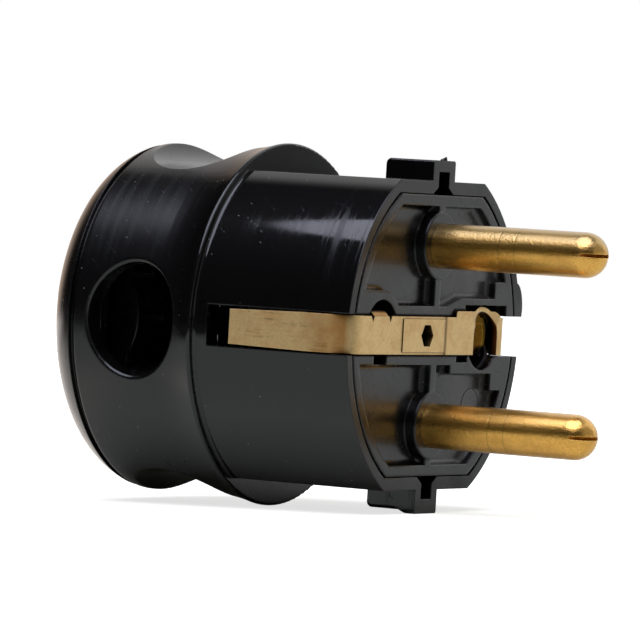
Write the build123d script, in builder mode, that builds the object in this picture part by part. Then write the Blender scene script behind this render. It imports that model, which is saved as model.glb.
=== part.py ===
from build123d import *
import os
from math import cos, radians, sin

# Angled earthed plug: two round pins, an earth arm on each side, and a cable that leaves at right angles.
# The plug's axis is X and the pins point to +X, one above the other along Z. The cable goes in from -Y.
# The origin is on the axis, in the plane of the body's front face. Sizes are in millimetres.

# Contact pins
pin_diameter = 4.8
pin_spacing = 19.0
pin_reach = 19.5
pin_shank_diameter = 4.0
pin_thread_length = 4.0
pin_slot_width = 0.35
pin_slot_depth = 2.0
pin_slot_bite = 3.2

# Front part of the housing
body_diameter = 37.3
body_across_flats = 32.6
body_length = 18.6
body_wall = 1.05
flat_wall = 1.35
body_root_radius = 0.35

# Guide noses on the flats
nose_width = 4.7
nose_height = 2.2
nose_length = 5.9
nose_wall = 1.2
nose_corner = 0.6
nose_edge = 0.3
nose_lip_height = 0.35
nose_lip_length = 1.2
nose_foot_width = 4.4
nose_foot_height = 0.7
side_pad_height = 2.9
side_pad_stand = 0.5
side_pad_width = 1.6

# Flange and grip
flange_stand = 0.68
flange_land = 0.4
flange_edge = 0.25
flare_length = 5.0
grip_diameter = 37.5
grip_length = 14.8
grip_wall = 2.5
grip_edge = 0.25
scoop_length = 11.2
scoop_depth = 2.75
scoop_roundness = 3.4
scoop_offset = 8.6
scoop_wall = 2.2

# Cable entry and cord grip
entry_width = 10.5
entry_height = 11.8
entry_offset = 7.8
entry_edge = 0.45
cable_diameter = 8.4
saddle_thickness = 2.4
saddle_width = 18.4
saddle_reach = 11.7
grip_post_diameter = 4.6
grip_post_spacing = 14.0
grip_post_inset = 9.2
grip_bar_thickness = 2.0
grip_bar_width = 5.0
grip_bar_bow = 1.2
grip_screw_bite = 6.0

# Rear cover
cover_round = 6.2
cover_tilt = 20.0
cover_wall = 2.0
cover_inset = 0.2
seam_width = 0.7
seam_depth = 0.8
spigot_depth = 1.8
spigot_wall = 1.25
spigot_gap = 0.15

# Pin carrier
carrier_gap = 0.35
carrier_flat_gap = 0.12
carrier_depth = 13.0
plate_thickness = 4.0
skirt_wall = 1.5
rim_width = 1.15
pocket_depth = 1.1
pocket_root = 0.6
boss_diameter = 7.2
boss_stand = 0.2
boss_edge = 0.15
rib_width = 1.2
channel_rib = 0.95
guard_lead = 8.2
guard_slope = 3.1
guard_step = 6.8
guard_height = 4.0
rim_guard_inset = 5.9
rim_guard_height = 5.8
key_notch_width = 2.4
key_notch_depth = 0.65
key_notch_lead = 4.4
barrier_width = 16.0
barrier_thickness = 1.2

# Earth strip
strip_width = 4.0
strip_tip_width = 3.65
strip_thickness = 0.9
strip_stand = 0.35
strip_bend = 0.9
strip_gap = 0.15
tab_bend = 0.75
arm_reach = 14.2
arm_stand = 0.1
arm_near_inset = 1.9
arm_near_run = 2.6
arm_far_inset = 4.35
arm_far_run = 4.5
arm_slot_length = 17.0
hex_across_flats = 2.25
coin_start = -7.7
coin_end = 1.4
coin_height = 0.1
coin_inset = 0.25
shoulder_lead = 6.6
shoulder_height = 0.65
shoulder_round = 0.4
plate_round = 1.2
lug_inset = 3.5
lug_width = 3.0
lug_length = 11.5
lug_rise = 2.2
notch_width = 0.7
notch_depth = 0.65
tab_hole_shift = 0.7
tab_hole_rise = 0.35

# Earth socket
socket_inset = 8.15
socket_bore = 5.1
socket_wall = 0.6
socket_set_back = 1.4
socket_length = 11.0
socket_slit = 80.0
socket_gap = 0.2
socket_drop = 0.3
tongue_width = 3.4
guide_wall = 1.0
hoop_width = 0.6
dish_rise = 3.4
dish_radius = 3.3
dish_depth = 0.6
recess_lead = 4.2
recess_trail = 5.0
recess_height = 1.3
recess_depth = 2.6

# Terminals and screws
block_size = 7.0
block_length = 8.0
block_gap = 0.15
wire_hole_diameter = 2.8
terminal_screw_diameter = 3.0
terminal_head_diameter = 5.0
terminal_head_height = 2.0
terminal_set_back = 6.0
earth_screw_diameter = 2.6
earth_head_diameter = 4.6
earth_head_height = 1.6
earth_screw_length = 4.0
earth_screw_set_back = 8.6
clamp_size = 3.0
clamp_thickness = 0.8
assembly_screw_diameter = 2.6
assembly_offset = -2.5
assembly_head_diameter = 5.0
assembly_head_height = 1.7
assembly_washer_diameter = 5.6
assembly_washer_thickness = 0.5
screw_recess_diameter = 6.0
screw_recess_depth = 3.2
screw_boss_wall = 1.3
post_wall = 1.2
screw_gap = 0.1
screw_slot_width = 0.7
screw_slot_depth = 0.7

# Worked out from the sizes above
pin_radius = pin_diameter / 2
pin_height = pin_spacing / 2
pin_tip_x = boss_stand + pin_reach
body_radius = body_diameter / 2
body_flat = body_across_flats / 2
bore_radius = body_radius - body_wall
bore_flat = body_flat - flat_wall
flange_x = -body_length
grip_radius = grip_diameter / 2
flange_radius = max(body_radius, grip_radius) + flange_stand
seam_x = flange_x - grip_length
seat_x = -carrier_depth
cavity_radius = grip_radius - grip_wall
scoop_floor = grip_radius - scoop_depth
cavity_flat = scoop_floor - scoop_wall
scoop_x = flange_x - scoop_offset
entry_x = flange_x - entry_offset
carrier_radius = bore_radius - carrier_gap
carrier_flat = bore_flat - carrier_flat_gap
skirt_radius = carrier_radius - skirt_wall
skirt_flat = carrier_flat - skirt_wall
pocket_radius = carrier_radius - rim_width
pocket_flat = carrier_flat - rim_width
channel_half = strip_width / 2 + strip_gap
band_half = channel_half + channel_rib
strip_back_x = strip_stand - strip_thickness
strip_mid_x = strip_stand - strip_thickness / 2
arm_y = body_radius + arm_stand - strip_thickness / 2
arm_slot_floor = min(cavity_radius, arm_y - strip_thickness) - strip_gap
arm_near_bend = body_radius - arm_near_inset
arm_far_bend = body_radius - arm_far_inset
socket_offset = body_radius - socket_inset
shoulder_start = socket_offset - shoulder_lead
shoulder_top = strip_width / 2 + shoulder_height
lug_centre = lug_inset - skirt_radius
shank_end_x = -plate_thickness - pin_thread_length
tab_hole_y = lug_centre + tab_hole_shift
socket_outer_radius = socket_bore / 2 + socket_wall
socket_hole_radius = socket_outer_radius + socket_gap
saddle_x = entry_x + cable_diameter / 2
grip_post_y = grip_post_inset - grip_radius
grip_bar_x = entry_x - cable_diameter / 2
shell_span = 3 * grip_radius


def drum_sketch(radius, flat):
    """Draws a circle with a flat above and below."""
    Circle(radius)
    Rectangle(2 * radius, 2 * flat, mode=Mode.INTERSECT)


# Housing: the outer form is turned about the axis, then the flats, scoops and openings are cut
with BuildPart() as housing:
    with BuildSketch(Plane.XY):
        with BuildLine():
            FilletPolyline(
                (0, 0),
                (0, body_radius),
                (flange_x, body_radius),
                (flange_x, flange_radius),
                (flange_x - flange_land, flange_radius),
                radius=(0, body_root_radius, flange_edge),
            )
            TangentArc(
                (flange_x - flare_length, grip_radius),
                (flange_x - flange_land, flange_radius),
                tangent=(1, 0),
            )
            FilletPolyline(
                (flange_x - flare_length, grip_radius),
                (seam_x, grip_radius),
                (seam_x, 0),
                (0, 0),
                radius=(grip_edge, 0),
            )
        make_face()
    revolve(axis=Axis.X)

    # Flats on the front part
    with BuildSketch(Plane.YZ):
        with Locations((0, body_radius), (0, -body_radius)):
            Rectangle(2 * body_radius, 2 * (body_radius - body_flat))
    extrude(amount=-body_length, mode=Mode.SUBTRACT)

    # Finger scoops above and below the grip, straight across it
    with BuildSketch(Plane.XZ):
        with Locations((scoop_x, scoop_floor + scoop_roundness), (scoop_x, -scoop_floor - scoop_roundness)):
            Ellipse(scoop_length / 2, scoop_roundness)
    extrude(amount=shell_span, both=True, mode=Mode.SUBTRACT)

    # Guide noses with rounded sides, the lower one with a lip at its front
    nose_top = body_flat + nose_height
    for side in (1, -1):
        with BuildSketch(Plane.XZ):
            with BuildLine():
                FilletPolyline(
                    (0, side * bore_flat),
                    (0, side * nose_top),
                    (-nose_length, side * nose_top),
                    (-nose_length, side * bore_flat),
                    radius=(0, nose_corner),
                )
                Line((-nose_length, side * bore_flat), (0, side * bore_flat))
            make_face()
        extrude(amount=nose_width / 2, both=True)
    with BuildSketch(Plane.XZ):
        with BuildLine():
            Polyline(
                (0, -nose_top + nose_wall / 2),
                (0, -nose_top - nose_lip_height),
                (-nose_lip_length, -nose_top - nose_lip_height),
                (-nose_lip_length - 2 * nose_lip_height, -nose_top),
                (-nose_lip_length - 2 * nose_lip_height, -nose_top + nose_wall / 2),
                close=True,
            )
        make_face()
    extrude(amount=nose_width / 2, both=True)
    nose_edges = housing.edges().filter_by(Axis.X).group_by(Axis.Z)
    fillet(nose_edges[0] + nose_edges[1] + nose_edges[-1], nose_edge)

    # Low pad beside the far arm slot
    with BuildSketch(Plane.YZ):
        with Locations((body_radius + side_pad_stand - side_pad_width, channel_half + side_pad_height / 4)):
            Ellipse(side_pad_width, side_pad_height)
    extrude(amount=-nose_length)

    # Bore for the carrier, with its flats, and the cavity behind the seat
    with BuildSketch(Plane.YZ):
        drum_sketch(bore_radius, bore_flat)
    extrude(amount=seat_x, mode=Mode.SUBTRACT)
    with BuildSketch(Plane.YZ.offset(seat_x)):
        drum_sketch(cavity_radius, cavity_flat)
    extrude(amount=seam_x - seat_x, mode=Mode.SUBTRACT)

    # The noses are hollow, with a flared foot where they open to the bore
    for side in (1, -1):
        with BuildSketch(Plane.YZ):
            with BuildLine():
                half = nose_width / 2 - nose_wall
                crown = side * (body_flat + nose_height - nose_wall)
                foot = side * (bore_flat + nose_foot_height)
                root = side * (bore_flat - carrier_gap)
                Polyline(
                    (half, crown),
                    (half, foot),
                    (nose_foot_width / 2, side * bore_flat),
                    (nose_foot_width / 2, root),
                    (-nose_foot_width / 2, root),
                    (-nose_foot_width / 2, side * bore_flat),
                    (-half, foot),
                    (-half, crown),
                    close=True,
                )
            make_face()
        extrude(amount=nose_wall - nose_length, mode=Mode.SUBTRACT)

    # Slots for the earth arms, open at the front
    with BuildSketch(Plane.XY):
        with Locations((-arm_slot_length / 2, body_radius), (-arm_slot_length / 2, -body_radius)):
            Rectangle(arm_slot_length, 2 * (body_radius - arm_slot_floor))
    extrude(amount=channel_half, both=True, mode=Mode.SUBTRACT)

    # Saddle and posts of the cord grip
    with BuildSketch(Plane.YZ.offset(saddle_x)):
        with Locations((saddle_reach / 2 - grip_radius, 0)):
            Rectangle(saddle_reach, saddle_width)
        Circle(grip_radius - grip_wall / 2, mode=Mode.INTERSECT)
    extrude(amount=saddle_thickness)
    with BuildSketch(Plane.YZ.offset(saddle_x)):
        with Locations((grip_post_y, grip_post_spacing / 2), (grip_post_y, -grip_post_spacing / 2)):
            Circle(grip_post_diameter / 2)
    extrude(amount=grip_bar_x - saddle_x)
    with BuildSketch(Plane.YZ.offset(grip_bar_x)):
        with Locations((grip_post_y, grip_post_spacing / 2), (grip_post_y, -grip_post_spacing / 2)):
            Circle(earth_screw_diameter / 2 + screw_gap)
    extrude(amount=grip_screw_bite + screw_gap, mode=Mode.SUBTRACT)

    # Cable entry
    with BuildSketch(Plane.XZ.offset(grip_radius - 2 * grip_wall)):
        with Locations((entry_x, 0)):
            Ellipse(entry_width / 2, entry_height / 2)
    extrude(amount=3 * grip_wall, mode=Mode.SUBTRACT)
    entry_reach = entry_width / 2 + entry_edge
    entry_depth = grip_wall / 2 - grip_radius
    entry_edges = housing.edges().filter_by(lambda edge: edge.bounding_box().max.Y < entry_depth)
    entry_edges = entry_edges.filter_by(lambda edge: edge.bounding_box().max.X < entry_x + entry_reach)
    entry_edges = entry_edges.filter_by(lambda edge: edge.bounding_box().min.X > entry_x - entry_reach)
    fillet(entry_edges, entry_edge)

# Rear cover: a dome with a seam groove, a locating spigot and a recess for the screw
dome_x = seam_x - seam_width
dome_radius = grip_radius - cover_inset
back_x = dome_x - cover_round * (1 - sin(radians(cover_tilt)))
back_radius = dome_radius - cover_round * cos(radians(cover_tilt))
half_tilt = radians((90 + cover_tilt) / 2)
dome_middle = (
    dome_x - cover_round * (sin(half_tilt) - sin(radians(cover_tilt))),
    dome_radius - cover_round * (cos(radians(cover_tilt)) - cos(half_tilt)),
)
spigot_radius = cavity_radius - spigot_gap
with BuildPart() as rear_cover:
    with BuildSketch(Plane.XY):
        with BuildLine():
            Polyline(
                (seam_x, spigot_radius),
                (seam_x, grip_radius - seam_depth),
                (dome_x, grip_radius - seam_depth),
                (dome_x, dome_radius),
            )
            ThreePointArc((dome_x, dome_radius), dome_middle, (back_x, back_radius))
            Polyline(
                (back_x, back_radius),
                (back_x, 0),
                (back_x + cover_wall, 0),
                (back_x + cover_wall, back_radius - cover_wall / 2),
                (dome_x - cover_wall / 4, spigot_radius - spigot_wall),
                (seam_x + spigot_depth, spigot_radius - spigot_wall),
                (seam_x + spigot_depth, spigot_radius),
                (seam_x, spigot_radius),
            )
        make_face()
    revolve(axis=Axis.X)
    # The spigot is cut away at the housing's flats
    with BuildSketch(Plane.YZ.offset(seam_x)):
        Rectangle(2 * grip_radius, 2 * grip_radius)
        Rectangle(2 * grip_radius, 2 * (cavity_flat - spigot_gap), mode=Mode.SUBTRACT)
    extrude(amount=2 * spigot_depth, mode=Mode.SUBTRACT)
    with BuildSketch(Plane.YZ.offset(back_x + cover_wall / 2)):
        with Locations((assembly_offset, 0)):
            Circle(screw_recess_diameter / 2 + screw_boss_wall)
    extrude(amount=screw_recess_depth + screw_boss_wall - cover_wall / 2)
    with BuildSketch(Plane.YZ.offset(back_x)):
        with Locations((assembly_offset, 0)):
            Circle(screw_recess_diameter / 2)
    extrude(amount=screw_recess_depth, mode=Mode.SUBTRACT)
    with BuildSketch(Plane.YZ.offset(back_x)):
        with Locations((assembly_offset, 0)):
            Circle(assembly_screw_diameter / 2 + screw_gap)
    extrude(amount=2 * screw_recess_depth, mode=Mode.SUBTRACT)

# Pin carrier: a face plate with a skirt, pockets in front and terminal chambers behind
with BuildPart() as pin_carrier:
    with BuildSketch(Plane.YZ):
        drum_sketch(carrier_radius, carrier_flat)
    extrude(amount=-carrier_depth)
    with BuildSketch(Plane.YZ.offset(-plate_thickness)):
        drum_sketch(skirt_radius, skirt_flat)
    extrude(amount=plate_thickness - carrier_depth, mode=Mode.SUBTRACT)

    # Pockets with rounded floors, which leave the rim, the rib, the band along the strip and the guards
    collar_radius = socket_hole_radius + channel_rib
    rim_guard_y = body_radius - rim_guard_inset
    with BuildSketch(Plane.YZ):
        drum_sketch(pocket_radius, pocket_flat)
        with Locations((0, band_half - pocket_radius)):
            Rectangle(2 * pocket_radius, 2 * pocket_radius, mode=Mode.SUBTRACT)
        Rectangle(rib_width, 2 * pocket_flat, mode=Mode.SUBTRACT)
        with Locations((tab_hole_y, tab_hole_rise)):
            Circle(collar_radius, mode=Mode.SUBTRACT)
        with Locations((tab_hole_y - collar_radius, tab_hole_rise)):
            Rectangle(2 * collar_radius, 2 * collar_radius, mode=Mode.SUBTRACT)
        with BuildLine():
            Polyline(
                (socket_offset - guard_lead, 0),
                (socket_offset - guard_lead, band_half),
                (socket_offset - guard_lead + guard_slope, guard_height),
                (rim_guard_y, guard_height),
                (rim_guard_y, rim_guard_height),
                (carrier_radius, rim_guard_height),
                (carrier_radius, 0),
                close=True,
            )
        make_face(mode=Mode.SUBTRACT)
    extrude(amount=-pocket_depth, mode=Mode.SUBTRACT)
    with BuildSketch(Plane.YZ):
        drum_sketch(pocket_radius, pocket_flat)
        with Locations((0, pocket_radius - band_half)):
            Rectangle(2 * pocket_radius, 2 * pocket_radius, mode=Mode.SUBTRACT)
        Rectangle(rib_width, 2 * pocket_flat, mode=Mode.SUBTRACT)
        with BuildLine():
            Polyline(
                (socket_offset - guard_step, 0),
                (socket_offset - guard_step, -guard_height),
                (rim_guard_y, -guard_height),
                (rim_guard_y, -rim_guard_height),
                (carrier_radius, -rim_guard_height),
                (carrier_radius, 0),
                close=True,
            )
        make_face(mode=Mode.SUBTRACT)
    extrude(amount=-pocket_depth, mode=Mode.SUBTRACT)
    deepest = -pocket_depth - boss_edge
    floor_edges = pin_carrier.edges().filter_by_position(Axis.X, deepest, boss_edge - pocket_depth)
    fillet(floor_edges, pocket_root)

    # Bosses round the pins
    with BuildSketch(Plane.YZ.offset(-plate_thickness)):
        with Locations((0, pin_height), (0, -pin_height)):
            Circle(boss_diameter / 2)
    extrude(amount=plate_thickness + boss_stand)
    fillet(pin_carrier.edges().filter_by(GeomType.CIRCLE).group_by(Axis.X)[-1], boss_edge)

    # Walls of the terminal chambers, the post of the assembly screw and the guide of the earth socket
    with BuildSketch(Plane.YZ.offset(-plate_thickness)):
        barrier_z = pin_height - block_size / 2 - block_gap - barrier_thickness / 2
        with Locations((0, barrier_z), (0, -barrier_z)):
            Rectangle(barrier_width, barrier_thickness)
        side_y = block_size / 2 + block_gap + barrier_thickness / 2
        side_height = carrier_flat - skirt_wall / 2 - barrier_z
        with Locations((side_y, barrier_z + side_height / 2), (side_y, -barrier_z - side_height / 2)):
            Rectangle(barrier_thickness, side_height)
        with Locations((assembly_offset, 0)):
            Circle(assembly_screw_diameter / 2 + screw_gap + post_wall)
        with Locations((socket_offset, 0)):
            Circle(socket_hole_radius + guide_wall)
    extrude(amount=plate_thickness - carrier_depth)

    # Holes for the pins, the assembly screw and the earth socket
    with BuildSketch(Plane.YZ.offset(boss_stand)):
        with Locations((0, pin_height), (0, -pin_height)):
            Circle(pin_shank_diameter / 2 + screw_gap)
        with Locations((assembly_offset, 0)):
            Circle(assembly_screw_diameter / 2 + screw_gap)
        with Locations((socket_offset, -socket_drop / 2)):
            SlotCenterToCenter(socket_drop, 2 * socket_hole_radius, rotation=90)
    extrude(amount=-carrier_depth - 2 * boss_stand, mode=Mode.SUBTRACT)

    # Hole for the strip's earth tab: round above, with a straight notch below the strip
    with BuildSketch(Plane.YZ):
        with Locations((tab_hole_y, tab_hole_rise)):
            Circle(socket_hole_radius)
        with Locations((0, -channel_half - carrier_radius)):
            Rectangle(2 * carrier_radius, 2 * carrier_radius, mode=Mode.SUBTRACT)
        with Locations((tab_hole_y, -band_half / 2)):
            Rectangle(socket_hole_radius - rib_width / 2, band_half)
    extrude(amount=-plate_thickness, mode=Mode.SUBTRACT)

    # Channel for the strip, wider above the earth hole, and a notch for each arm's bend
    with BuildSketch(Plane.YZ.offset(strip_back_x)):
        Rectangle(4 * carrier_radius, 2 * channel_half)
        with Locations((socket_offset - shoulder_lead / 2, shoulder_top / 2)):
            Rectangle(shoulder_lead + 2 * strip_gap, shoulder_top + 2 * strip_gap)
        with Locations((socket_offset + (recess_trail - recess_lead) / 2, 0)):
            Rectangle(recess_trail + recess_lead, 2 * (socket_outer_radius + strip_gap))
        with Locations((socket_offset, -carrier_radius)):
            Rectangle(2 * carrier_radius, 2 * (carrier_radius - channel_half), mode=Mode.SUBTRACT)
    extrude(amount=2 * strip_thickness, mode=Mode.SUBTRACT)
    with BuildSketch(Plane.YZ.offset(-recess_depth)):
        recess_top = socket_outer_radius + strip_gap
        with Locations((socket_offset + (recess_trail - recess_lead) / 2, recess_top - recess_height / 2)):
            Rectangle(recess_trail + recess_lead, recess_height)
        with Locations((socket_offset - key_notch_lead, -channel_half - key_notch_depth / 2)):
            Rectangle(key_notch_width, key_notch_depth)
    extrude(amount=2 * recess_depth, mode=Mode.SUBTRACT)
    with BuildSketch(Plane.XY):
        with BuildLine():
            Polyline(
                (strip_thickness, strip_thickness - arm_near_bend),
                (-arm_near_run - strip_thickness, strip_thickness - arm_near_bend),
                (-arm_near_run - strip_thickness, -2 * carrier_radius),
                (strip_thickness, -2 * carrier_radius),
                close=True,
            )
        make_face()
        with BuildLine():
            Polyline(
                (strip_thickness, arm_far_bend - strip_thickness),
                (-strip_thickness, arm_far_bend - strip_thickness),
                (-arm_far_run - strip_thickness, arm_y - strip_thickness),
                (-arm_far_run - strip_thickness, 2 * carrier_radius),
                (strip_thickness, 2 * carrier_radius),
                close=True,
            )
        make_face()
    extrude(amount=channel_half, both=True, mode=Mode.SUBTRACT)

# Contact pins, each with the block that it screws into and the screw that clamps the wire there
contacts = {}
for pole, height in (("line", pin_height), ("neutral", -pin_height)):
    axis_plane = Plane.XY.offset(height)
    pin_axis = Axis((0, 0, height), (1, 0, 0))
    block_plane = Plane.YZ.offset(-plate_thickness)
    screw_x = -plate_thickness - terminal_set_back

    with BuildPart() as pin:
        with BuildSketch(axis_plane):
            with BuildLine():
                Polyline(
                    (pin_tip_x, 0),
                    (shank_end_x, 0),
                    (shank_end_x, pin_shank_diameter / 2),
                    (boss_stand, pin_shank_diameter / 2),
                    (boss_stand, pin_radius),
                    (pin_tip_x - pin_radius, pin_radius),
                )
                RadiusArc((pin_tip_x - pin_radius, pin_radius), (pin_tip_x, 0), pin_radius)
            make_face()
        revolve(axis=pin_axis)
        with BuildSketch(axis_plane):
            with Locations((pin_tip_x - pin_slot_depth / 2, pin_slot_bite / 2 - pin_radius)):
                Rectangle(pin_slot_depth, pin_slot_bite)
        extrude(amount=pin_slot_width / 2, both=True, mode=Mode.SUBTRACT)
    contacts[pole + "_pin"] = pin

    with BuildPart() as block:
        with BuildSketch(block_plane):
            with Locations((0, height)):
                Rectangle(block_size, block_size)
        extrude(amount=-block_length)
        with BuildSketch(block_plane):
            with Locations((0, height)):
                Circle(pin_shank_diameter / 2 + screw_gap)
        extrude(amount=-pin_thread_length - screw_gap, mode=Mode.SUBTRACT)
        with BuildSketch(Plane.YZ.offset(-plate_thickness - block_length)):
            with Locations((0, height)):
                Circle(wire_hole_diameter / 2)
        extrude(amount=block_length - pin_thread_length, mode=Mode.SUBTRACT)
        with BuildSketch(Plane.XZ):
            with Locations((screw_x, height)):
                Circle(terminal_screw_diameter / 2 + screw_gap)
        extrude(amount=block_size, mode=Mode.SUBTRACT)
    contacts[pole + "_terminal_block"] = block

    with BuildPart() as screw:
        with BuildSketch(Plane.XZ):
            with Locations((screw_x, height)):
                Circle(terminal_screw_diameter / 2)
        extrude(amount=block_size / 2)
        with BuildSketch(Plane.XZ.offset(block_size / 2)):
            with Locations((screw_x, height)):
                Circle(terminal_head_diameter / 2)
        extrude(amount=terminal_head_height)
        with BuildSketch(Plane.XZ.offset(block_size / 2 + terminal_head_height)):
            with Locations((screw_x, height)):
                Rectangle(screw_slot_width, terminal_head_diameter)
        extrude(amount=-screw_slot_depth, mode=Mode.SUBTRACT)
    contacts[pole + "_terminal_screw"] = screw

# Earth strip: one folded strip, with both arms, the face, the tab bent back and the dish at the earth hole
with BuildPart() as earth_strip:
    with BuildSketch(Plane.XY):
        with BuildLine() as strip_line:
            FilletPolyline(
                (-arm_reach, -arm_y),
                (-arm_near_run, -arm_y),
                (strip_mid_x, -arm_near_bend),
                (strip_mid_x, arm_far_bend),
                (-arm_far_run, arm_y),
                (-arm_reach, arm_y),
                radius=strip_bend,
            )
        trace(line_width=strip_thickness)
    extrude(amount=strip_width / 2, both=True)

    # The arms narrow towards their tips
    with BuildSketch(Plane.XZ):
        for side in (1, -1):
            with BuildLine():
                Polyline(
                    (-arm_far_run - strip_bend, side * strip_width / 2),
                    (-arm_reach, side * strip_tip_width / 2),
                    (-arm_reach, side * strip_width),
                    (-arm_far_run - strip_bend, side * strip_width),
                    close=True,
                )
            make_face()
    extrude(amount=2 * body_radius, both=True, mode=Mode.SUBTRACT)

    # Wider part and hoop round the earth hole, and the coined pad round the hexagonal hole
    plate_end = arm_far_bend - strip_bend / 2
    with BuildSketch(Plane.YZ.offset(strip_back_x)):
        with BuildLine():
            FilletPolyline(
                (shoulder_start, 0),
                (shoulder_start, shoulder_top),
                (plate_end, shoulder_top),
                (plate_end, 0),
                radius=(shoulder_round, plate_round),
            )
            Line((plate_end, 0), (shoulder_start, 0))
        make_face()
        with Locations((socket_offset, 0)):
            Circle(socket_bore / 2 + hoop_width)
        with Locations((socket_offset, -body_radius - strip_width / 2)):
            Rectangle(body_radius, 2 * body_radius, mode=Mode.SUBTRACT)
    extrude(amount=strip_thickness)
    with BuildSketch(Plane.YZ.offset(strip_stand)):
        with Locations(((coin_start + coin_end) / 2, 0)):
            Rectangle(coin_end - coin_start, strip_width - 2 * coin_inset)
    extrude(amount=coin_height)

    # Dish that presses the hoop back, above the earth hole
    dish_ball = (dish_radius**2 + dish_depth**2) / (2 * dish_depth)
    with Locations((strip_stand + dish_ball - dish_depth, socket_offset, dish_rise)):
        Sphere(dish_ball, mode=Mode.SUBTRACT)

    # Opening over the earth hole, open below, and the hexagonal hole
    with BuildSketch(Plane.YZ.offset(strip_back_x)):
        with Locations((socket_offset, 0)):
            Circle(socket_bore / 2)
        with Locations((socket_offset, -strip_width / 2)):
            Rectangle(socket_bore, strip_width)
        with Locations((assembly_offset, 0)):
            RegularPolygon(hex_across_flats / 2, 6, major_radius=False)
    extrude(amount=2 * strip_thickness, mode=Mode.SUBTRACT)

    # Notches beside the tab, and the tab itself
    with BuildSketch(Plane.YZ.offset(strip_back_x)):
        notch_offset = lug_width / 2 + notch_width / 2
        for edge in (lug_centre - notch_offset, lug_centre + notch_offset):
            with BuildLine():
                Polyline(
                    (edge - notch_width / 2, strip_width / 2),
                    (edge + notch_width / 2, strip_width / 2),
                    (edge, strip_width / 2 - notch_depth),
                    close=True,
                )
            make_face()
    extrude(amount=2 * strip_thickness, mode=Mode.SUBTRACT)
    with BuildSketch(Plane.XZ.offset(-lug_centre - lug_width / 2)):
        with BuildLine():
            FilletPolyline(
                (strip_mid_x, strip_width / 4),
                (strip_mid_x, lug_rise),
                (-lug_length, lug_rise),
                radius=tab_bend,
            )
        trace(line_width=strip_thickness)
    extrude(amount=lug_width)
    with BuildSketch(Plane.XY):
        with Locations((-earth_screw_set_back, lug_centre)):
            Circle(earth_screw_diameter / 2 + screw_gap)
    extrude(amount=2 * strip_width, mode=Mode.SUBTRACT)

# Earth socket: a rolled sleeve, slit below, with a tongue that meets the back of the strip
with BuildPart() as earth_socket:
    with BuildSketch(Plane.YZ.offset(-socket_set_back)):
        with Locations((socket_offset, 0)):
            Circle(socket_outer_radius)
            Circle(socket_bore / 2, mode=Mode.SUBTRACT)
        with BuildLine():
            slit_half = radians(socket_slit / 2)
            Polyline(
                (socket_offset, 0),
                (socket_offset + socket_bore * sin(slit_half), -socket_bore * cos(slit_half)),
                (socket_offset - socket_bore * sin(slit_half), -socket_bore * cos(slit_half)),
                close=True,
            )
        make_face(mode=Mode.SUBTRACT)
    extrude(amount=-socket_length)
    with BuildSketch(Plane.YZ.offset(-socket_set_back)):
        with Locations((socket_offset, 0)):
            Circle(socket_outer_radius)
            Circle(socket_bore / 2, mode=Mode.SUBTRACT)
        with Locations((socket_offset, socket_outer_radius)):
            Rectangle(tongue_width, socket_bore, mode=Mode.INTERSECT)
    extrude(amount=socket_set_back + strip_back_x)

# Earth wire clamp and the screw that holds it on the strip's tab
lug_top = lug_rise + strip_thickness / 2
with BuildPart() as earth_wire_clamp:
    with BuildSketch(Plane.XY.offset(lug_top)):
        with Locations((-earth_screw_set_back, lug_centre)):
            Rectangle(clamp_size, clamp_size)
            Circle(earth_screw_diameter / 2 + screw_gap, mode=Mode.SUBTRACT)
    extrude(amount=clamp_thickness)

with BuildPart() as earth_terminal_screw:
    with BuildSketch(Plane.XY.offset(lug_top + clamp_thickness)):
        with Locations((-earth_screw_set_back, lug_centre)):
            Circle(earth_screw_diameter / 2)
    extrude(amount=-earth_screw_length)
    with BuildSketch(Plane.XY.offset(lug_top + clamp_thickness)):
        with Locations((-earth_screw_set_back, lug_centre)):
            Circle(earth_head_diameter / 2)
    extrude(amount=earth_head_height)
    with BuildSketch(Plane.XY.offset(lug_top + clamp_thickness + earth_head_height)):
        with Locations((-earth_screw_set_back, lug_centre)):
            Rectangle(screw_slot_width, earth_head_diameter)
    extrude(amount=-screw_slot_depth, mode=Mode.SUBTRACT)

# Cord grip bar, bowed towards the cable, and its two screws
bar_back_x = grip_bar_x - grip_bar_thickness
bar_half = grip_post_spacing / 2 + grip_bar_width / 2
with BuildPart() as cord_grip_bar:
    with BuildSketch(Plane.YZ.offset(bar_back_x)):
        with Locations((grip_post_y, 0)):
            SlotOverall(2 * bar_half, grip_bar_width, rotation=90)
    extrude(amount=grip_bar_thickness)
    with BuildSketch(Plane.XZ.offset(-grip_post_y)):
        with BuildLine():
            ThreePointArc(
                (grip_bar_x, -cable_diameter / 2),
                (grip_bar_x + grip_bar_bow, 0),
                (grip_bar_x, cable_diameter / 2),
            )
            Line((grip_bar_x, cable_diameter / 2), (grip_bar_x, -cable_diameter / 2))
        make_face()
    extrude(amount=grip_bar_width / 2, both=True)
    with BuildSketch(Plane.YZ.offset(bar_back_x)):
        with Locations((grip_post_y, grip_post_spacing / 2), (grip_post_y, -grip_post_spacing / 2)):
            Circle(earth_screw_diameter / 2 + screw_gap)
    extrude(amount=grip_bar_thickness, mode=Mode.SUBTRACT)

with BuildPart() as cord_grip_screws:
    for height in (grip_post_spacing / 2, -grip_post_spacing / 2):
        with BuildSketch(Plane.YZ.offset(bar_back_x)):
            with Locations((grip_post_y, height)):
                Circle(earth_screw_diameter / 2)
        extrude(amount=grip_bar_thickness + grip_screw_bite)
        with BuildSketch(Plane.YZ.offset(bar_back_x)):
            with Locations((grip_post_y, height)):
                Circle(earth_head_diameter / 2)
        extrude(amount=-earth_head_height)
        with BuildSketch(Plane.YZ.offset(bar_back_x - earth_head_height)):
            with Locations((grip_post_y, height)):
                Rectangle(earth_head_diameter, screw_slot_width)
        extrude(amount=screw_slot_depth, mode=Mode.SUBTRACT)

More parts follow.
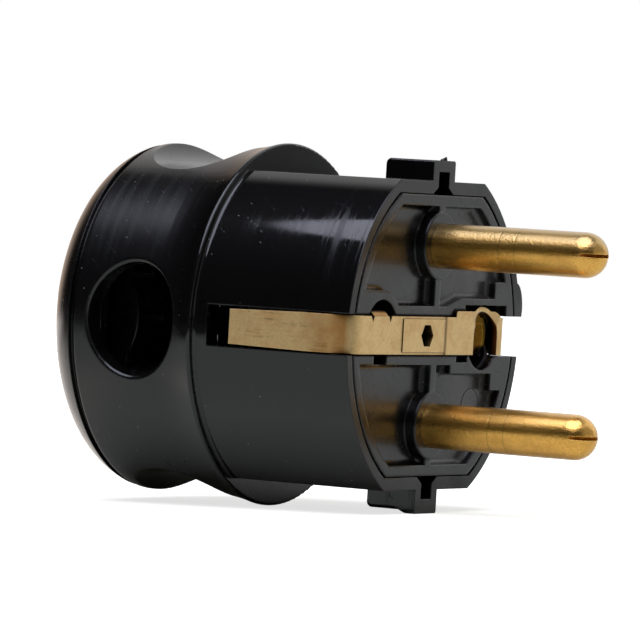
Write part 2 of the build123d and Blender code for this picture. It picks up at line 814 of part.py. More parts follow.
# Assembly screw and washer: the head sits in the cover and the tip ends in the carrier's post
head_seat_x = back_x + screw_recess_depth
head_x = head_seat_x - assembly_washer_thickness
with BuildPart() as assembly_washer:
    with BuildSketch(Plane.YZ.offset(head_x)):
        with Locations((assembly_offset, 0)):
            Circle(assembly_washer_diameter / 2)
            Circle(assembly_screw_diameter / 2 + screw_gap, mode=Mode.SUBTRACT)
    extrude(amount=assembly_washer_thickness)

with BuildPart() as assembly_screw:
    with BuildSketch(Plane.YZ.offset(head_x)):
        with Locations((assembly_offset, 0)):
            Circle(assembly_screw_diameter / 2)
    extrude(amount=-plate_thickness - head_x)
    with BuildSketch(Plane.YZ.offset(head_x)):
        with Locations((assembly_offset, 0)):
            Circle(assembly_head_diameter / 2)
    extrude(amount=-assembly_head_height)
    with BuildSketch(Plane.YZ.offset(head_x - assembly_head_height)):
        with Locations((assembly_offset, 0)):
            Rectangle(assembly_head_diameter, screw_slot_width)
    extrude(amount=screw_slot_depth, mode=Mode.SUBTRACT)

pieces = {
    "housing": housing,
    "rear_cover": rear_cover,
    "pin_carrier": pin_carrier,
    "earth_strip": earth_strip,
    "earth_socket": earth_socket,
    "earth_wire_clamp": earth_wire_clamp,
    "earth_terminal_screw": earth_terminal_screw,
    "cord_grip_bar": cord_grip_bar,
    "cord_grip_screws": cord_grip_screws,
    "assembly_washer": assembly_washer,
    "assembly_screw": assembly_screw,
    **contacts,
}
os.makedirs("parts", exist_ok=True)
for name, piece in pieces.items():
    piece.part.label = name
    export_step(piece.part, f"parts/{name}.step")
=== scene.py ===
"""Looks of the angled earthed plug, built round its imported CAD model."""

import logging
import math
from dataclasses import dataclass
from enum import Enum
from functools import cached_property

import bmesh
import bpy
from mathutils import Matrix, Vector


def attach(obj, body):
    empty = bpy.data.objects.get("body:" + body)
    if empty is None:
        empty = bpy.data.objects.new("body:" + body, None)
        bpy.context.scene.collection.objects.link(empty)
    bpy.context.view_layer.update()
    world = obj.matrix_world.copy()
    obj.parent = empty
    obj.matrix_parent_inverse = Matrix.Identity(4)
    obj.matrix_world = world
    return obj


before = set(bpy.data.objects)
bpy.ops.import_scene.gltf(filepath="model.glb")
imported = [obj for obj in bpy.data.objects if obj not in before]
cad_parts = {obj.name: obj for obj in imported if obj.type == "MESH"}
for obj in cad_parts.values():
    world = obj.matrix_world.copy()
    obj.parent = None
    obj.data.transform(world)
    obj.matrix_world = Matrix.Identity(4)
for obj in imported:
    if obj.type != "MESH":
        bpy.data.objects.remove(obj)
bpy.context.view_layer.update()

logging.basicConfig(level=logging.INFO, format="%(message)s")
LOG = logging.getLogger("plug")

MM = 0.001
METRES_TO_MM = (1000.0, 1000.0, 1000.0)
SMOOTH = "SMOOTHSTEP"
EDGE_SAMPLES = 6
SHADE_SAMPLES = 8
BLACK = "#000000"
WHITE = "#ffffff"

Colour = tuple[float, float, float, float]
Socket = bpy.types.NodeSocket
Triple = tuple[float, float, float]


class Slot(Enum):
    """Names of material slots in the record; nothing here uses them."""

    HOUSING = "housing_black"
    CARRIER = "carrier_black"


class Axis(Enum):
    """Axes of the plug, by the names of the sockets that give them."""

    ALONG = "X"
    ACROSS = "Y"
    UP = "Z"


class Node(Enum):
    """Kinds of shader node in use."""

    PLACE = "ShaderNodeTexCoord"
    MAPPING = "ShaderNodeMapping"
    AXES = "ShaderNodeSeparateXYZ"
    CHANNELS = "ShaderNodeSeparateColor"
    NOISE = "ShaderNodeTexNoise"
    CELLS = "ShaderNodeTexVoronoi"
    WAVE = "ShaderNodeTexWave"
    MATH = "ShaderNodeMath"
    VECTOR = "ShaderNodeVectorMath"
    SPAN = "ShaderNodeMapRange"
    MIX = "ShaderNodeMix"
    SHADE = "ShaderNodeAmbientOcclusion"
    EDGE = "ShaderNodeBevel"
    BUMP = "ShaderNodeBump"
    PATH = "ShaderNodeLightPath"
    SURFACE = "ShaderNodeBsdfPrincipled"
    MATT = "ShaderNodeBsdfDiffuse"
    GLOW = "ShaderNodeEmission"
    SUM = "ShaderNodeAddShader"
    SKY = "ShaderNodeBackground"
    OUT = "ShaderNodeOutputMaterial"
    SKY_OUT = "ShaderNodeOutputWorld"


def linear(code: str) -> Colour:
    """Turns an sRGB hex colour into linear RGBA.

    Args:
        code: Six hex digits after a hash sign.

    Returns:
        Linear red, green, blue and an alpha of 1.
    """
    shares = [int(code[at:at + 2], 16) / 255 for at in (1, 3, 5)]
    curved = [c / 12.92 if c <= 0.04045 else ((c + 0.055) / 1.055) ** 2.4 for c in shares]
    return (curved[0], curved[1], curved[2], 1.0)


@dataclass(frozen=True)
class Ramp:
    """An even change from low to high between a start and an end, and level outside them."""

    start: float
    end: float
    low: float = 0.0
    high: float = 1.0

    def of(self, value: Socket) -> dict[int | str, object]:
        """Gives the inputs of a span node that follows the value."""
        return {0: value, 1: self.start, 2: self.end, 3: self.low, 4: self.high}


class Graph:
    """A node tree that is built node by node."""

    def __init__(self, tree: bpy.types.NodeTree) -> None:
        """Empties the tree.

        Args:
            tree: The node tree of a material or a world.
        """
        self.tree = tree
        tree.nodes.clear()

    def add(self, kind: Node, inputs: dict[int | str, object], out: int | str = 0,
            **settings: object) -> Socket | None:
        """Adds one node, with its settings and what goes into it.

        Args:
            kind: The kind of node.
            inputs: Socket name or number to a value, or to an output socket that is linked to it.
            out: Name or number of the output that is wanted.
            settings: Properties of the node itself.

        Returns:
            The wanted output's socket, or None where the node has no outputs.
        """
        node = self.tree.nodes.new(kind.value)
        for key, value in settings.items():
            setattr(node, key, value)
        for key, value in inputs.items():
            if isinstance(value, Socket):
                self.tree.links.new(value, node.inputs[key])
            else:
                node.inputs[key].default_value = value
        return node.outputs[out] if len(node.outputs) else None


class Skin(Graph):
    """A new material's node tree, with what its layers have made of the surface so far."""

    def __init__(self, name: str, base: str) -> None:
        """Makes the material, with places on the object in millimetres.

        Args:
            name: The material's name.
            base: The colour under all layers, as sRGB hex.
        """
        self.material = bpy.data.materials.new(name)
        self.material.use_nodes = True
        super().__init__(self.material.node_tree)
        metres = self.add(Node.PLACE, {}, "Object")
        self.place = self.add(Node.MAPPING, {"Vector": metres, "Scale": METRES_TO_MM})
        self.colour: Colour | Socket = linear(base)
        self.rough: float | Socket = 0.5
        self.height: float | Socket = 0.0

    @cached_property
    def axes(self) -> dict[Axis, Socket]:
        """Gives the place on each axis, in millimetres."""
        outputs = self.add(Node.AXES, {0: self.place}).node.outputs
        return {axis: outputs[axis.value] for axis in Axis}

    def specks(self, per_mm: float, size: Ramp, share: float) -> Socket:
        """Makes round points in some of the cells of a loose net.

        Args:
            per_mm: Cells in a millimetre.
            size: How a point fades with the distance from its middle, in cells.
            share: The share of the cells that have a point.

        Returns:
            A socket that is 1 in the points and 0 elsewhere.
        """
        cells = self.add(Node.CELLS, {"Vector": self.place, "Scale": per_mm, "Randomness": 1.0}).node.outputs
        near = self.add(Node.SPAN, size.of(cells["Distance"]))
        lot = self.add(Node.CHANNELS, {0: cells["Color"]})
        chosen = self.add(Node.MATH, {0: lot, 1: 1.0 - share}, operation="GREATER_THAN")
        return self.add(Node.MATH, {0: near, 1: chosen}, operation="MULTIPLY")

    def close(self, edge_mm: float, bump: float, bump_mm: float,
              shading: dict[str, float]) -> bpy.types.Material:
        """Softens the edges, presses the height into the surface and gives the layers to the shader.

        Args:
            edge_mm: Radius of the softened edges.
            bump: Strength of the height.
            bump_mm: How far a height of 1 stands out.
            shading: The shader's other values, by socket.

        Returns:
            The finished material.
        """
        edge = self.add(Node.EDGE, {"Radius": edge_mm * MM}, samples=EDGE_SAMPLES)
        normal = self.add(Node.BUMP, {"Height": self.height, "Normal": edge, "Strength": bump,
                                      "Distance": bump_mm * MM})
        shader = self.add(Node.SURFACE, {"Base Color": self.colour, "Roughness": self.rough, "Normal": normal,
                                         "Coat Normal": normal, **shading})
        self.add(Node.OUT, {"Surface": shader})
        return self.material


@dataclass(frozen=True, kw_only=True)
class BlackMoulding:
    """Hard black thermoset, compression moulded.

    Gives the eye a deep gloss with slow unevenness, fine dust and hairline rubs.
    """

    name: str
    base: str
    dust: str
    dust_share: float
    gloss: float
    haze: float
    edge_mm: float
    refraction: float
    cloud_per_mm: float = 0.22
    cloud_range: tuple[float, float] = (0.3, 0.7)
    cloud_dulls: float = 1.6
    grain_per_mm: float = 2.4
    grain_height: float = 0.05
    dust_per_mm: float = 1.3
    dust_size: Ramp = Ramp(0.04, 0.1, 1.0, 0.0)
    dust_dulls: float = 0.4
    rub_scale: float = 0.16
    rub_bend: float = 9.0
    rub_width: Ramp = Ramp(0.985, 1.0)
    rub_breaks: Ramp = Ramp(0.52, 0.66)
    rub_dulls: float = 0.16
    coat: float = 0.08
    bump: float = 0.12
    bump_mm: float = 0.05

    def build(self) -> bpy.types.Material:
        """Makes the material, layer by layer.

        Returns:
            The new material.
        """
        skin = Skin(self.name, self.base)
        # Slow changes in gloss about 4.5 mm across, as a mould's polish leaves them, and a grain of 0.4 mm
        cloud = skin.add(Node.NOISE, {"Vector": skin.place, "Scale": self.cloud_per_mm, "Detail": 3.0})
        grain = skin.add(Node.NOISE, {"Vector": skin.place, "Scale": self.grain_per_mm, "Detail": 4.0})
        polish = Ramp(*self.cloud_range, self.gloss, self.gloss * self.cloud_dulls)
        skin.rough = skin.add(Node.SPAN, polish.of(cloud))
        skin.height = skin.add(Node.MATH, {0: grain, 1: self.grain_height}, operation="MULTIPLY")
        self.dusting(skin)
        self.rubs(skin, grain)
        self.details(skin)
        return skin.close(self.edge_mm, self.bump, self.bump_mm, {
            "IOR": self.refraction, "Coat Weight": self.coat, "Coat Roughness": self.haze})

    def dusting(self, skin: Skin) -> None:
        """Adds dust: pale matt points.

        Args:
            skin: The material so far.
        """
        # Points of about 0.1 mm in some of the cells of 0.77 mm, coarser than real dust so that they show
        dust = skin.specks(self.dust_per_mm, self.dust_size, self.dust_share)
        skin.colour = skin.add(Node.MIX, {0: dust, 6: skin.colour, 7: linear(self.dust)}, 2, data_type="RGBA")
        skin.rough = skin.add(Node.MATH, {0: dust, 1: self.dust_dulls, 2: skin.rough},
                              operation="MULTIPLY_ADD")

    def rubs(self, skin: Skin, grain: Socket) -> None:
        """Adds hairline rubs, which dull the gloss.

        Args:
            skin: The material so far.
            grain: The fine grain, which breaks the lines up.
        """
        # Bent lines about 2 mm apart and 0.1 mm wide, coarser than real rubs, which change the gloss alone
        bent = skin.add(Node.WAVE, {
            "Vector": skin.place, "Scale": self.rub_scale, "Distortion": self.rub_bend,
            "Detail": 2.0, "Detail Scale": 0.5}, "Fac", bands_direction="DIAGONAL")
        thin = skin.add(Node.SPAN, self.rub_width.of(bent))
        worn = skin.add(Node.SPAN, self.rub_breaks.of(grain))
        rub = skin.add(Node.MATH, {0: thin, 1: worn}, operation="MULTIPLY")
        skin.rough = skin.add(Node.MATH, {0: rub, 1: self.rub_dulls, 2: skin.rough}, operation="MULTIPLY_ADD")

    def details(self, skin: Skin) -> None:
        """Adds what one kind of moulding has besides; the plain kind has nothing."""


@dataclass(frozen=True, kw_only=True)
class PolishedMoulding(BlackMoulding):
    """The moulding of the body and its cover, polished and much handled.

    Gives the eye polishing marks round the axis, a dull grip, flange face and rim, and a parting line.
    """

    band_per_mm: Triple = (1.3, 0.05, 0.05)
    band_depth: Ramp = Ramp(0.5, 0.66)
    front_mm: Ramp = Ramp(-7.0, -2.0, 0.035, 0.2)
    grip_mm: Ramp = Ramp(-20.6, -19.2, 0.07, 0.0)
    grip_dulls: float = 2.3
    flange_face_mm: float = -18.6
    flange_skin_mm: Ramp = Ramp(0.03, 0.06, 1.0, 0.0)
    flange_top_mm: Ramp = Ramp(11.0, 15.0, 0.22, 0.75)
    rim_mm: Ramp = Ramp(-0.1, -0.04, 0.0, 0.35)
    parting_mm: Ramp = Ramp(0.02, 0.07, 0.8, 0.0)

    def details(self, skin: Skin) -> None:
        """Adds the marks of polishing, handling and moulding.

        Args:
            skin: The material so far.
        """
        self.polish(skin)
        self.bare_faces(skin)
        # Parting line of the mould, down the middle, 0.1 mm wide
        aside = skin.add(Node.MATH, {0: skin.axes[Axis.ACROSS]}, operation="ABSOLUTE")
        ridge = skin.add(Node.SPAN, self.parting_mm.of(aside))
        skin.height = skin.add(Node.MATH, {0: skin.height, 1: ridge}, operation="ADD")

    def polish(self, skin: Skin) -> None:
        """Adds polishing marks round the axis, and a grip that hands have dulled.

        Args:
            skin: The material so far.
        """
        # Bands 0.3 to 1 mm wide, which show most at the front edge
        around = skin.add(Node.MAPPING, {"Vector": skin.place, "Scale": self.band_per_mm})
        bands = skin.add(Node.NOISE, {"Vector": around, "Scale": 1.0, "Detail": 4.0, "Roughness": 0.65})
        bands = skin.add(Node.SPAN, self.band_depth.of(bands))
        front = skin.add(Node.SPAN, self.front_mm.of(skin.axes[Axis.ALONG]))
        held = skin.add(Node.SPAN, self.grip_mm.of(skin.axes[Axis.ALONG]))
        marks = skin.add(Node.MATH, {0: front, 1: held}, operation="MAXIMUM")
        skin.rough = skin.add(Node.MATH, {0: bands, 1: marks, 2: skin.rough}, operation="MULTIPLY_ADD")
        skin.rough = skin.add(Node.MATH, {0: held, 1: self.grip_dulls, 2: skin.rough},
                              operation="MULTIPLY_ADD")

    def bare_faces(self, skin: Skin) -> None:
        """Dulls the faces that were never polished: the flange's, most at the top, and the front rim.

        Args:
            skin: The material so far.
        """
        ahead = skin.add(Node.MATH, {0: skin.axes[Axis.ALONG], 1: self.flange_face_mm}, operation="SUBTRACT")
        ahead = skin.add(Node.MATH, {0: ahead}, operation="ABSOLUTE")
        face = skin.add(Node.SPAN, self.flange_skin_mm.of(ahead))
        dull = skin.add(Node.SPAN, self.flange_top_mm.of(skin.axes[Axis.UP]))
        skin.rough = skin.add(Node.MATH, {0: face, 1: dull, 2: skin.rough}, operation="MULTIPLY_ADD")
        rim = skin.add(Node.SPAN, self.rim_mm.of(skin.axes[Axis.ALONG]))
        skin.rough = skin.add(Node.MATH, {0: skin.rough, 1: rim}, operation="ADD")


@dataclass(frozen=True, kw_only=True)
class SatinMoulding(BlackMoulding):
    """The moulding of the carrier, as it left the mould.

    Gives the eye a soft sheen. The floors of the pockets on the earth hole's side are greyed as painted
    light, to lighten them.
    """

    # Grey of the painted light that lightens the pocket floors
    pocket_floor_painted_light: str = "#3e3d3c"
    floor_top_mm: Ramp = Ramp(-0.95, -0.7, 1.0, 0.0)
    floor_foot_mm: Ramp = Ramp(-1.3, -1.2)
    painted_light_side_mm: Ramp = Ramp(3.5, 9.0)

    def details(self, skin: Skin) -> None:
        """Greys the floors of the pockets on the earth hole's side, as painted light that lightens them.

        Args:
            skin: The material so far.
        """
        # Painted light: the pocket floors, most on the earth hole's side, are greyed to look lighter
        above = skin.add(Node.SPAN, self.floor_top_mm.of(skin.axes[Axis.ALONG]))
        below = skin.add(Node.SPAN, self.floor_foot_mm.of(skin.axes[Axis.ALONG]))
        floor = skin.add(Node.MATH, {0: above, 1: below}, operation="MULTIPLY")
        side = skin.add(Node.SPAN, self.painted_light_side_mm.of(skin.axes[Axis.ACROSS]))
        grey = skin.add(Node.MATH, {0: floor, 1: side}, operation="MULTIPLY")
        skin.colour = skin.add(Node.MIX, {0: grey, 6: skin.colour, 7: linear(self.pocket_floor_painted_light)}, 2,
                               data_type="RGBA")


@dataclass(frozen=True, kw_only=True)
class Mark:
    """A straight line that a tool pressed or turned into the metal, square to one axis."""

    axis: Axis
    at_mm: float
    half_mm: float
    depth: float
    shade: float
    sharp_share: float = 0.2
    colour: str = "#6b4a1c"

    def press(self, skin: Skin) -> None:
        """Presses the line into the surface and darkens it.

        Args:
            skin: The material so far.
        """
        gap = skin.add(Node.MATH, {0: skin.axes[self.axis], 1: self.at_mm}, operation="SUBTRACT")
        gap = skin.add(Node.MATH, {0: gap}, operation="ABSOLUTE")
        line = skin.add(Node.SPAN, Ramp(self.sharp_share * self.half_mm, self.half_mm, 1.0, 0.0).of(gap))
        skin.height = skin.add(Node.MATH, {0: line, 1: -self.depth, 2: skin.height}, operation="MULTIPLY_ADD")
        line = skin.add(Node.MATH, {0: line, 1: self.shade}, operation="MULTIPLY")
        skin.colour = skin.add(Node.MIX, {0: line, 6: skin.colour, 7: linear(self.colour)}, 2,
                               data_type="RGBA")


@dataclass(frozen=True, kw_only=True)
class Brass:
    """Brass, turned and polished or rolled and stamped.

    Gives the eye a warm metal with a fine grain along one way, soft stains, speckle and small pits.
    """

    name: str
    base: str
    stain: str
    stain_share: float
    gloss: float
    grain: float
    grain_per_mm: Triple
    edge_mm: float
    metal: float
    lacquer: float = 0.0
    lacquer_haze: float = 0.15
    sparkle: float = 0.0
    marks: tuple[Mark, ...] = ()
    grain_range: tuple[float, float] = (0.25, 0.75)
    cloud_per_mm: float = 0.55
    cloud_range: tuple[float, float] = (0.46, 0.7)
    stain_dulls: float = 0.12
    pebble_per_mm: float = 4.0
    pebble_shade: Ramp = Ramp(0.4, 0.7, 0.0, 0.35)
    pit: str = "#4a3416"
    pit_per_mm: float = 1.1
    pit_size: Ramp = Ramp(0.04, 0.1, 1.0, 0.0)
    pit_share: float = 0.1
    pit_shade: float = 0.7
    bump: float = 0.4
    bump_mm: float = 0.03

    def build(self) -> bpy.types.Material:
        """Makes the material, layer by layer.

        Returns:
            The new material.
        """
        skin = Skin(self.name, self.base)
        # Grain: noise of 0.2 to 0.33 mm drawn out to 4 or 5 mm along the way the metal was worked
        drawn = skin.add(Node.MAPPING, {"Vector": skin.place, "Scale": self.grain_per_mm})
        grain = skin.add(Node.NOISE, {"Vector": drawn, "Scale": 1.0, "Detail": 5.0})
        # Stains: cloudy darker patches about 2 mm across
        cloud = skin.add(Node.NOISE, {"Vector": skin.place, "Scale": self.cloud_per_mm, "Detail": 5.0,
                                      "Roughness": 0.62})
        stain = skin.add(Node.SPAN, Ramp(*self.cloud_range, 0.0, self.stain_share).of(cloud))
        skin.colour = skin.add(Node.MIX, {0: stain, 6: skin.colour, 7: linear(self.stain)}, 2,
                               data_type="RGBA")
        # Speckle and sparkle: a pebbled skin of 0.25 mm, coarser than real so that it shows
        pebbles = skin.add(Node.NOISE, {"Vector": skin.place, "Scale": self.pebble_per_mm, "Detail": 2.0})
        speckle = skin.add(Node.SPAN, self.pebble_shade.of(pebbles))
        skin.colour = skin.add(Node.MIX, {0: speckle, 6: skin.colour, 7: linear(self.stain)}, 2,
                               data_type="RGBA")
        self.settle(skin)
        worked = Ramp(*self.grain_range, self.gloss, self.gloss + self.grain)
        skin.rough = skin.add(Node.SPAN, worked.of(grain))
        skin.rough = skin.add(Node.MATH, {0: stain, 1: self.stain_dulls, 2: skin.rough},
                              operation="MULTIPLY_ADD")
        # Pits: dark points of about 0.1 mm in a tenth of the cells of 0.9 mm
        pits = skin.specks(self.pit_per_mm, self.pit_size, self.pit_share)
        dark = skin.add(Node.MATH, {0: pits, 1: self.pit_shade}, operation="MULTIPLY")
        skin.colour = skin.add(Node.MIX, {0: dark, 6: skin.colour, 7: linear(self.pit)}, 2, data_type="RGBA")
        self.wear(skin, grain, cloud)
        skin.height = skin.add(Node.MATH, {0: pebbles, 1: self.sparkle}, operation="MULTIPLY")
        skin.height = skin.add(Node.MATH, {0: grain, 1: self.grain, 2: skin.height}, operation="MULTIPLY_ADD")
        skin.height = skin.add(Node.MATH, {0: skin.height, 1: pits}, operation="SUBTRACT")
        for mark in self.marks:
            mark.press(skin)
        return skin.close(self.edge_mm, self.bump, self.bump_mm, {
            "Metallic": self.metal, "Coat Weight": self.lacquer, "Coat Roughness": self.lacquer_haze})

    def settle(self, skin: Skin) -> None:
        """Adds what lies on the metal, under its pits; plain brass has nothing there."""

    def wear(self, skin: Skin, grain: Socket, cloud: Socket) -> None:
        """Adds the wear and age of one piece; plain brass has none."""


@dataclass(frozen=True, kw_only=True)
class PinBrass(Brass):
    """Turned and polished brass of the pins.

    Gives the eye a gold sparkle, a pale painted highlight on each pin's upper side and a tip that use has
    polished.
    """

    # Colour of the painted highlight on each pin's upper side
    painted_highlight: str
    centre_mm: float
    tip_mm: float
    painted_highlight_mm: Ramp = Ramp(0.2, 1.4)
    painted_highlight_share: float = 0.6
    painted_highlight_change: float = 0.3
    tip_length_mm: float = 1.5
    tip_gloss: float = 0.03

    def settle(self, skin: Skin) -> None:
        """Paints a pale highlight on the upper side of each pin, weaker on the lower pin, which is more
        sheltered.

        Args:
            skin: The material so far.
        """
        # Painted highlight: the upper side of each pin is tinted pale, weaker on the lower pin
        height = skin.axes[Axis.UP]
        pin = skin.add(Node.MATH, {0: height}, operation="SIGN")
        above = skin.add(Node.MATH, {0: pin, 1: -self.centre_mm, 2: height}, operation="MULTIPLY_ADD")
        painted_highlight = skin.add(Node.SPAN, self.painted_highlight_mm.of(above))
        share = skin.add(Node.MATH, {0: pin, 1: self.painted_highlight_change, 2: self.painted_highlight_share},
                         operation="MULTIPLY_ADD")
        painted_highlight = skin.add(Node.MATH, {0: painted_highlight, 1: share}, operation="MULTIPLY")
        skin.colour = skin.add(Node.MIX, {0: painted_highlight, 6: skin.colour, 7: linear(self.painted_highlight)}, 2, data_type="RGBA")

    def wear(self, skin: Skin, grain: Socket, cloud: Socket) -> None:
        """Polishes the rounded tip.

        Args:
            skin: The material so far.
            grain: Not used; the tip leaves the worked grain as it is.
            cloud: Not used; the tip leaves the stains' pattern as it is.
        """
        polished = Ramp(self.tip_mm - self.tip_length_mm, self.tip_mm, 0.0, self.tip_gloss)
        tip = skin.add(Node.SPAN, polished.of(skin.axes[Axis.ALONG]))
        skin.rough = skin.add(Node.MATH, {0: skin.rough, 1: tip}, operation="SUBTRACT")


@dataclass(frozen=True, kw_only=True)
class StripBrass(Brass):
    """Rolled and stamped brass of the earth strip.

    Gives the eye a pale satin metal, with browned and streaked arms, and painted shade: brown corners, which
    are partly tarnish, and dark holes.
    """

    arm_mm: float
    hole_centre_mm: float
    hole_reach_mm: float
    arm_fade_mm: float = 0.3
    arm_dulls: float = 0.14
    browned: str = "#b57f3c"
    brown_tint_mm: Ramp = Ramp(-6.0, -0.9, 0.0, 0.9)
    fold_mm: Ramp = Ramp(-0.05, 0.2, 1.0, 0.0)
    brown_tint_uneven: Ramp = Ramp(0.3, 0.6, 0.7, 1.0)
    streaked: str = "#7a5626"
    streak_depth: Ramp = Ramp(0.54, 0.7, 0.0, 0.55)
    streak_patch: Ramp = Ramp(0.42, 0.6)
    # Painted shade from the occlusion: brown in the corners, partly tarnish, and near black in the holes
    shade_mm: float = 2.6
    corner_tarnish_and_shade: str = "#8f5f24"
    corner_shade: Ramp = Ramp(0.62, 0.97, 0.8, 0.0)
    deep: str = "#140c05"
    deep_shade: Ramp = Ramp(0.5, 0.78, 0.97, 0.0)
    hole_fade_mm: float = 0.04
    # Colours of the painted shade on the earth hole's wall
    hole_back: str = "#070402"
    hole_front: str = "#7a4818"
    hole_depth_mm: Ramp = Ramp(-0.25, 0.2)

    def wear(self, skin: Skin, grain: Socket, cloud: Socket) -> None:
        """Colours the arms, and darkens the corners and the earth hole, mostly as painted shade.

        Args:
            skin: The material so far.
            grain: The worked grain, which the streaks follow.
            cloud: The stains' pattern, which breaks up the browning and the streaks.
        """
        self.arms(skin, grain, cloud)
        # Painted shade from the occlusion: brown in the corners, partly tarnish too, and near black in the
        # holes
        shade = skin.add(Node.SHADE, {"Distance": self.shade_mm * MM}, "AO", samples=SHADE_SAMPLES)
        corner_tarnish_and_shade = skin.add(Node.SPAN, self.corner_shade.of(shade))
        skin.colour = skin.add(Node.MIX, {0: corner_tarnish_and_shade, 6: skin.colour, 7: linear(self.corner_tarnish_and_shade)}, 2,
                               data_type="RGBA")
        deep = skin.add(Node.SPAN, self.deep_shade.of(shade))
        skin.colour = skin.add(Node.MIX, {0: deep, 6: skin.colour, 7: linear(self.deep)}, 2, data_type="RGBA")
        self.earth_hole(skin)

    def arms(self, skin: Skin, grain: Socket, cloud: Socket) -> None:
        """Dulls the arms, browns them next to the fold and darkens streaks along them.

        Args:
            skin: The material so far.
            grain: The worked grain, which the streaks follow.
            cloud: The stains' pattern, which breaks up the browning and the streaks.
        """
        away = skin.add(Node.MATH, {0: skin.axes[Axis.ACROSS]}, operation="ABSOLUTE")
        arm = skin.add(Node.SPAN, Ramp(self.arm_mm - self.arm_fade_mm, self.arm_mm).of(away))
        skin.rough = skin.add(Node.MATH, {0: arm, 1: self.arm_dulls, 2: skin.rough}, operation="MULTIPLY_ADD")
        brown_tint = skin.add(Node.SPAN, self.brown_tint_mm.of(skin.axes[Axis.ALONG]))
        fold = skin.add(Node.SPAN, self.fold_mm.of(skin.axes[Axis.ALONG]))
        uneven = skin.add(Node.SPAN, self.brown_tint_uneven.of(cloud))
        for limit in (fold, uneven, arm):
            brown_tint = skin.add(Node.MATH, {0: brown_tint, 1: limit}, operation="MULTIPLY")
        skin.colour = skin.add(Node.MIX, {0: brown_tint, 6: skin.colour, 7: linear(self.browned)}, 2,
                               data_type="RGBA")
        streak = skin.add(Node.SPAN, self.streak_depth.of(grain))
        patch = skin.add(Node.SPAN, self.streak_patch.of(cloud))
        for limit in (patch, arm):
            streak = skin.add(Node.MATH, {0: streak, 1: limit}, operation="MULTIPLY")
        skin.colour = skin.add(Node.MIX, {0: streak, 6: skin.colour, 7: linear(self.streaked)}, 2,
                               data_type="RGBA")

    def earth_hole(self, skin: Skin) -> None:
        """Paints shade on the wall of the earth hole, round above and straight below, darkest towards its
        back.

        Args:
            skin: The material so far.
        """
        flat = skin.add(Node.VECTOR, {0: skin.place, 1: (0.0, 1.0, 1.0)}, operation="MULTIPLY")
        flat = skin.add(Node.VECTOR, {0: flat, 1: (0.0, 0.0, 0.0)}, operation="MAXIMUM")
        centre = (0.0, self.hole_centre_mm, 0.0)
        reach = skin.add(Node.VECTOR, {0: flat, 1: centre}, "Value", operation="DISTANCE")
        inside = Ramp(self.hole_reach_mm - self.hole_fade_mm, self.hole_reach_mm, 1.0, 0.0)
        wall = skin.add(Node.SPAN, inside.of(reach))
        front = skin.add(Node.SPAN, self.hole_depth_mm.of(skin.axes[Axis.ALONG]))
        # Painted shade on the hole's wall: near black at the back, brown nearer the front
        hole_wall_shade = skin.add(Node.MIX, {0: front, 6: linear(self.hole_back), 7: linear(self.hole_front)}, 2,
                         data_type="RGBA")
        skin.colour = skin.add(Node.MIX, {0: wall, 6: skin.colour, 7: hole_wall_shade}, 2, data_type="RGBA")


@dataclass(frozen=True, kw_only=True)
class SpringBrass(Brass):
    """Rolled brass of the earth sleeve.

    Gives the eye a bright upper half, with painted shade: a near black lip and lower half.
    """

    lip_mm: float
    lip_fade_mm: float = 0.1
    painted_sleeve_shade: str = "#0d0906"
    ragged_mm: float = 1.6
    lower_mm: Ramp = Ramp(-0.6, -0.2, 1.0, 0.0)

    def wear(self, skin: Skin, grain: Socket, cloud: Socket) -> None:
        """Paints shade on the lip and the lower half: near black.

        Args:
            skin: The material so far.
            grain: Not used; the worked grain shows through as it is.
            cloud: The stains' pattern, which makes the lower half's edge ragged.
        """
        # Painted shade: the lip and the lower half are near black, with a ragged edge
        ahead = Ramp(self.lip_mm - self.lip_fade_mm, self.lip_mm + self.lip_fade_mm)
        lip = skin.add(Node.SPAN, ahead.of(skin.axes[Axis.ALONG]))
        ragged = skin.add(Node.MATH, {0: cloud, 1: self.ragged_mm, 2: skin.axes[Axis.UP]},
                          operation="MULTIPLY_ADD")
        lower = skin.add(Node.SPAN, self.lower_mm.of(ragged))
        painted_sleeve_shade = skin.add(Node.MATH, {0: lip, 1: lower}, operation="MAXIMUM")
        skin.colour = skin.add(Node.MIX, {0: painted_sleeve_shade, 6: skin.colour, 7: linear(self.painted_sleeve_shade)}, 2, data_type="RGBA")


@dataclass(frozen=True, kw_only=True)
class PlatedSteel:
    """Steel with a zinc plating.

    Gives the eye a cool satin metal with faint clouding.
    """

    name: str
    base: str
    dull: str
    edge_mm: float
    cloud_per_mm: float = 0.9
    cloud_shade: Ramp = Ramp(0.35, 0.7)
    gloss: Ramp = Ramp(0.3, 0.7, 0.24, 0.4)

    def build(self) -> bpy.types.Material:
        """Makes the material.

        Returns:
            The new material.
        """
        skin = Skin(self.name, self.base)
        # Clouding in patches of about 1 mm
        cloud = skin.add(Node.NOISE, {"Vector": skin.place, "Scale": self.cloud_per_mm, "Detail": 4.0})
        share = skin.add(Node.SPAN, self.cloud_shade.of(cloud))
        colour = skin.add(Node.MIX, {0: share, 6: skin.colour, 7: linear(self.dull)}, 2, data_type="RGBA")
        rough = skin.add(Node.SPAN, self.gloss.of(cloud))
        edge = skin.add(Node.EDGE, {"Radius": self.edge_mm * MM}, samples=EDGE_SAMPLES)
        shader = skin.add(Node.SURFACE, {"Base Color": colour, "Roughness": rough, "Normal": edge,
                                         "Metallic": 1.0})
        skin.add(Node.OUT, {"Surface": shader})
        return skin.material


def dress(node: str, material: bpy.types.Material) -> None:
    """Gives one CAD node its material and reports it.

    Args:
        node: The node's name.
        material: The finish that it gets.
    """
    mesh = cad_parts[node].data
    mesh.materials.clear()
    mesh.materials.append(material)
    LOG.info("%s: %s", node, material.name)


